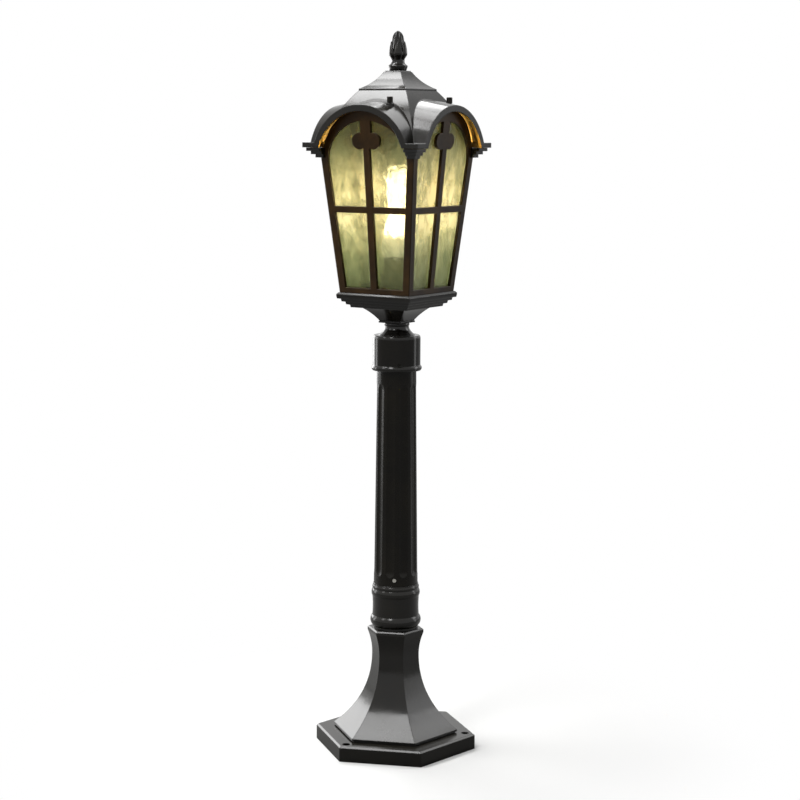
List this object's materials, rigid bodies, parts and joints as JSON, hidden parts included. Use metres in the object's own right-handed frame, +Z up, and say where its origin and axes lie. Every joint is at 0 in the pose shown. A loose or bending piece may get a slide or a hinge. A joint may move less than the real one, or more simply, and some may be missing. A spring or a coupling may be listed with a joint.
{
  "type": "garden post lantern",
  "caption": "Outdoor floor lamp: a square leaded-style glass lantern with an arched roof and leaf finial on a fluted pole with a flared hexagonal foot.",
  "frame": {"origin": "middle of the base plate's underside, on the ground under the pole", "axes": "+Z up along the pole; the lantern's sides face +X, -X, +Y and -Y"},
  "size_m": [0.2362, 0.2512, 1.104],
  "materials": {
    "black_casting": "gloss black paint on die-cast aluminium",
    "black_pole": "gloss black paint on aluminium tube",
    "rippled_glass": "clear rippled water glass",
    "zinc_steel": "bright zinc plate",
    "black_steel": "blackened steel",
    "holder_moulding": "dark phenolic moulding",
    "bulb_plastic": "white moulded housing",
    "bulb_glass": "phosphor coated, lit",
    "brass": "plain brass",
    "rubber": "matt black",
    "terminal_plastic": "moulded",
    "lead_sheath": "matt black sheath"
  },
  "bodies": {
    "post": {"base_plate": "black_casting", "pedestal": "black_casting", "foot_screws": "zinc_steel", "cable_grommet": "rubber", "terminal_bridge": "zinc_steel", "terminal_block": "terminal_plastic", "lamp_lead": "lead_sheath", "ring_collar": "black_casting", "collar_screws": "zinc_steel", "pole_tube": "black_pole", "pole_screws": "zinc_steel"},
    "head": {"top_sleeve": "black_casting", "set_screws": "black_steel", "neck": "black_casting", "cup": "black_casting", "tray": "black_casting", "nipple": "zinc_steel", "nipple_nuts": "zinc_steel", "glass_clips": "black_steel", "frame_screws": "black_steel", "corner_brackets": "black_casting", "holder_stand": "black_steel", "lampholder": "holder_moulding", "side_frame_front": "black_casting", "side_frame_right": "black_casting", "side_frame_back": "black_casting", "side_frame_left": "black_casting", "glass_pane_front": "rippled_glass", "glass_pane_right": "rippled_glass", "glass_pane_back": "rippled_glass", "glass_pane_left": "rippled_glass"},
    "roof": {"roof_shell": "black_casting", "roof_crown": "black_casting", "finial": "black_casting", "finial_stud": "zinc_steel", "finial_nut": "zinc_steel"},
    "bulb": {"bulb_screw_cap": "brass", "bulb_housing": "bulb_plastic", "bulb_tubes": "bulb_glass"},
    "roof_screw_front": {"roof_screw_front": "black_steel"},
    "roof_screw_right": {"roof_screw_right": "black_steel"},
    "roof_screw_back": {"roof_screw_back": "black_steel"},
    "roof_screw_left": {"roof_screw_left": "black_steel"}
  },
  "joints": [
    {"name": "head_swivel", "type": "hinge", "parent": "post", "child": "head", "pos_m": [0, 0, 0.592], "axis": [0, 0, 1], "range_deg": [-170, 170]},
    {"name": "roof_lift", "type": "slide", "parent": "head", "child": "roof", "axis": [0, 0, 1], "range_m": [0, 0.2]},
    {"name": "bulb_turn", "type": "hinge", "parent": "head", "child": "bulb", "pos_m": [0, 0, 0.754], "axis": [0, 0, 1], "continuous": true},
    {"name": "roof_screw_turn_front", "type": "hinge", "parent": "roof", "child": "roof_screw_front", "pos_m": [0.033, -0.071, 0.994], "axis": [0, 0, 1], "continuous": true},
    {"name": "roof_screw_turn_right", "type": "hinge", "parent": "roof", "child": "roof_screw_right", "pos_m": [0.071, 0.033, 0.994], "axis": [0, 0, 1], "continuous": true},
    {"name": "roof_screw_turn_back", "type": "hinge", "parent": "roof", "child": "roof_screw_back", "pos_m": [-0.033, 0.071, 0.994], "axis": [0, 0, 1], "continuous": true},
    {"name": "roof_screw_turn_left", "type": "hinge", "parent": "roof", "child": "roof_screw_left", "pos_m": [-0.071, 0.033, 0.994], "axis": [0, 0, 1], "continuous": true}
  ]
}
